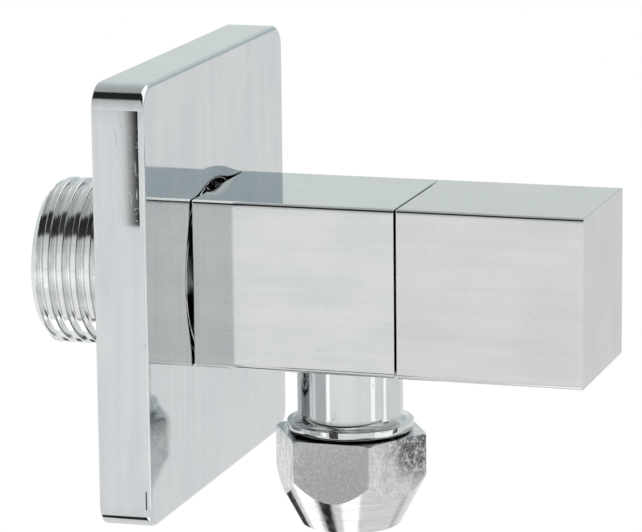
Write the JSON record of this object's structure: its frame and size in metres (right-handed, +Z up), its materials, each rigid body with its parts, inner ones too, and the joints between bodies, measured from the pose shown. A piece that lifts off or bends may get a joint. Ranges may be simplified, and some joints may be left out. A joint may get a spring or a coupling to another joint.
{
  "type": "angle stop valve",
  "caption": "Square angle stop valve in polished chrome: loose square wall flange, threaded inlet, square block body and quarter-turn handle, hexagonal compression outlet below.",
  "frame": {"origin": "on the wall plane, in the middle of the lower edge of the wall flange's rear rim, at the middle of the rim's thickness; the inlet axis is 26.4 mm above it", "axes": "+Y into the wall along the inlet axis, -Y out of the wall towards the handle's end, +Z up, so that the outlet points along -Z"},
  "size_m": [0.054, 0.0707, 0.0586],
  "materials": {
    "polished_chrome": "mirror-polished chrome plating over brass, with faint polishing marks",
    "machined_chrome": "chrome plating over as-turned brass: mottled flats and turning rings on the taper",
    "turned_brass": "bright turned brass",
    "spring_steel": "plain spring steel",
    "black_rubber": "matt black rubber",
    "red_fibre": "pressed sealing fibre",
    "white_ceramic": "lapped white alumina",
    "grey_ceramic": "lapped grey alumina",
    "white_nylon": "moulded nylon"
  },
  "bodies": {
    "valve": {"valve_body": "polished_chrome", "seat_seal": "black_rubber", "fixed_disc": "white_ceramic", "slip_washer": "white_nylon", "cartridge_housing": "turned_brass", "housing_gasket": "red_fibre", "outlet_nipple": "polished_chrome"},
    "handle": {"handle": "polished_chrome", "spline_adaptor": "white_nylon", "handle_set_screw": "spring_steel", "spindle": "turned_brass", "spindle_circlip": "spring_steel", "spindle_o_ring_inner": "black_rubber", "spindle_o_ring_outer": "black_rubber", "moving_disc": "grey_ceramic"},
    "olive": {"olive": "turned_brass"},
    "nut": {"compression_nut": "machined_chrome"},
    "grip_ring": {"flange_grip_ring": "black_rubber"},
    "flange": {"wall_flange": "polished_chrome"}
  },
  "joints": [
    {"name": "handle_turn", "type": "hinge", "parent": "valve", "child": "handle", "pos_m": [0, -0.0325, 0.0264], "axis": [0, -1, 0], "range_deg": [0, 90]},
    {"name": "nut_advance", "type": "slide", "parent": "valve", "child": "olive", "axis": [0, 0, -1], "range_m": [0, 0.0076]},
    {"name": "nut_turn", "type": "hinge", "parent": "olive", "child": "nut", "pos_m": [0, -0.0235, 0.0067], "axis": [0, 0, -1], "range_deg": [0, 1800]},
    {"name": "flange_slide", "type": "slide", "parent": "valve", "child": "grip_ring", "axis": [0, 1, 0], "range_m": [0, 0.014]},
    {"name": "flange_turn", "type": "hinge", "parent": "grip_ring", "child": "flange", "pos_m": [0, 0, 0.0264], "axis": [0, -1, 0], "continuous": true}
  ],
  "couplings": [
    {"joint": "nut_advance", "follows": "nut_turn", "m_per_rad": 0.00023873}
  ]
}
